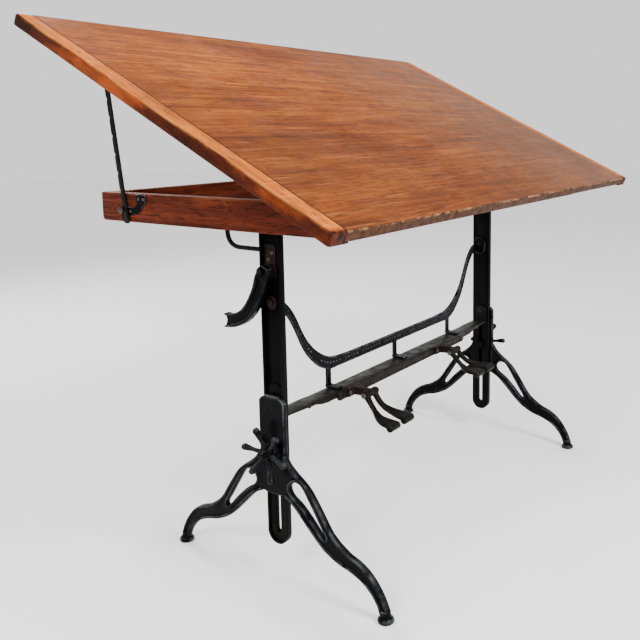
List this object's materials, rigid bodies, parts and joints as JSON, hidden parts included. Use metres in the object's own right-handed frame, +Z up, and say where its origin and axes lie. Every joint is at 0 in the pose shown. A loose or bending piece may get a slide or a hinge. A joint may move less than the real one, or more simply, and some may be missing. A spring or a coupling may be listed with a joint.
{
  "type": "drafting table",
  "caption": "Drafting table: a tilting wooden board on a wooden frame, carried at an adjustable height by slotted iron uprights in footed castings, with prop bars and pedals.",
  "frame": {"origin": "middle of the table's box in X and Y, on the floor under the feet", "axes": "+Z up; +X to the right of someone who stands at the board's low front edge; that person is at -Y"},
  "size_m": [1.524, 0.8294, 1.2342],
  "materials": {
    "board_wood": "satin",
    "cleat_wood": "satin",
    "frame_wood": "satin",
    "black_iron": "satin",
    "bar_iron": "satin",
    "rusty_iron": "matte",
    "dull_steel": "satin"
  },
  "bodies": {
    "base": {"leg_casting_left": "black_iron", "leg_casting_right": "black_iron", "clamp_bolt_left": "dull_steel", "clamp_bolt_right": "dull_steel"},
    "carriage": {"upright_left": "black_iron", "upright_right": "black_iron", "upright_head_left": "black_iron", "upright_head_right": "black_iron", "brace_bolt_left": "rusty_iron", "brace_bolt_right": "rusty_iron", "rail_bolt_left": "rusty_iron", "rail_bolt_right": "rusty_iron", "stay_rod_left": "black_iron", "stay_rod_right": "black_iron", "brace": "black_iron", "cross_rail": "bar_iron", "pedal_bracket_left": "rusty_iron", "pedal_bracket_right": "rusty_iron", "pedal_pin_left": "dull_steel", "pedal_pin_right": "dull_steel", "side_board_left": "frame_wood", "side_board_right": "frame_wood", "front_rail": "frame_wood", "rear_rail": "frame_wood", "bearer_left": "frame_wood", "bearer_right": "frame_wood", "hinge_frame_leaf_left": "dull_steel", "hinge_frame_leaf_right": "dull_steel", "hinge_pin_left": "dull_steel", "hinge_pin_right": "dull_steel", "catch_plate_left": "black_iron", "catch_plate_right": "black_iron", "catch_stud_left": "dull_steel", "catch_stud_right": "dull_steel", "lever_bracket": "rusty_iron", "lever_nut": "dull_steel"},
    "board": {"board_panel": "board_wood", "cleat_left": "cleat_wood", "cleat_right": "cleat_wood", "hinge_board_leaf_left": "dull_steel", "hinge_board_leaf_right": "dull_steel", "prop_bracket_left": "bar_iron", "prop_bracket_right": "bar_iron", "prop_pin_left": "dull_steel", "prop_pin_right": "dull_steel"},
    "prop_bar_left": {"prop_bar_left": "bar_iron"},
    "prop_bar_right": {"prop_bar_right": "bar_iron"},
    "handwheel_left": {"handwheel_left": "black_iron"},
    "handwheel_right": {"handwheel_right": "black_iron"},
    "pedal_left_1": {"pedal_left_1": "bar_iron"},
    "pedal_left_2": {"pedal_left_2": "bar_iron"},
    "pedal_right_1": {"pedal_right_1": "bar_iron"},
    "pedal_right_2": {"pedal_right_2": "bar_iron"},
    "hand_lever": {"hand_lever": "black_iron"}
  },
  "joints": [
    {"name": "carriage_lift", "type": "slide", "parent": "base", "child": "carriage", "axis": [0, 0, 1], "range_m": [-0.06, 0.185]},
    {"name": "board_tilt", "type": "hinge", "parent": "carriage", "child": "board", "pos_m": [0, -0.31261, 0.8514], "axis": [1, 0, 0], "range_deg": [-26.5, 0]},
    {"name": "prop_swing_left", "type": "hinge", "parent": "board", "child": "prop_bar_left", "pos_m": [-0.5815, 0.37512, 1.1753], "axis": [1, 0, 0], "range_deg": [-51.2, 0]},
    {"name": "prop_swing_right", "type": "hinge", "parent": "board", "child": "prop_bar_right", "pos_m": [0.5815, 0.37512, 1.1753], "axis": [1, 0, 0], "range_deg": [-51.2, 0]},
    {"name": "handwheel_turn_left", "type": "hinge", "parent": "base", "child": "handwheel_left", "pos_m": [-0.524, -0.03861, 0.294], "axis": [1, 0, 0], "range_deg": [-90, 90]},
    {"name": "handwheel_turn_right", "type": "hinge", "parent": "base", "child": "handwheel_right", "pos_m": [0.524, -0.03861, 0.294], "axis": [1, 0, 0], "range_deg": [-90, 90]},
    {"name": "pedal_left_1_press", "type": "hinge", "parent": "carriage", "child": "pedal_left_1", "pos_m": [-0.268, -0.11861, 0.364], "axis": [1, 0, 0], "range_deg": [0, 12]},
    {"name": "pedal_left_2_press", "type": "hinge", "parent": "carriage", "child": "pedal_left_2", "pos_m": [-0.236, -0.11861, 0.364], "axis": [1, 0, 0], "range_deg": [0, 12]},
    {"name": "pedal_right_1_press", "type": "hinge", "parent": "carriage", "child": "pedal_right_1", "pos_m": [0.147, -0.11861, 0.364], "axis": [1, 0, 0], "range_deg": [0, 21]},
    {"name": "pedal_right_2_press", "type": "hinge", "parent": "carriage", "child": "pedal_right_2", "pos_m": [0.179, -0.11861, 0.364], "axis": [1, 0, 0], "range_deg": [0, 21]},
    {"name": "hand_lever_swing", "type": "hinge", "parent": "carriage", "child": "hand_lever", "pos_m": [-0.519, -0.03761, 0.695], "axis": [1, 0, 0], "range_deg": [0, 30]}
  ],
  "couplings": [
    {"joint": "prop_swing_left", "follows": "board_tilt", "ratio": 1.928},
    {"joint": "prop_swing_right", "follows": "board_tilt", "ratio": 1.928}
  ]
}
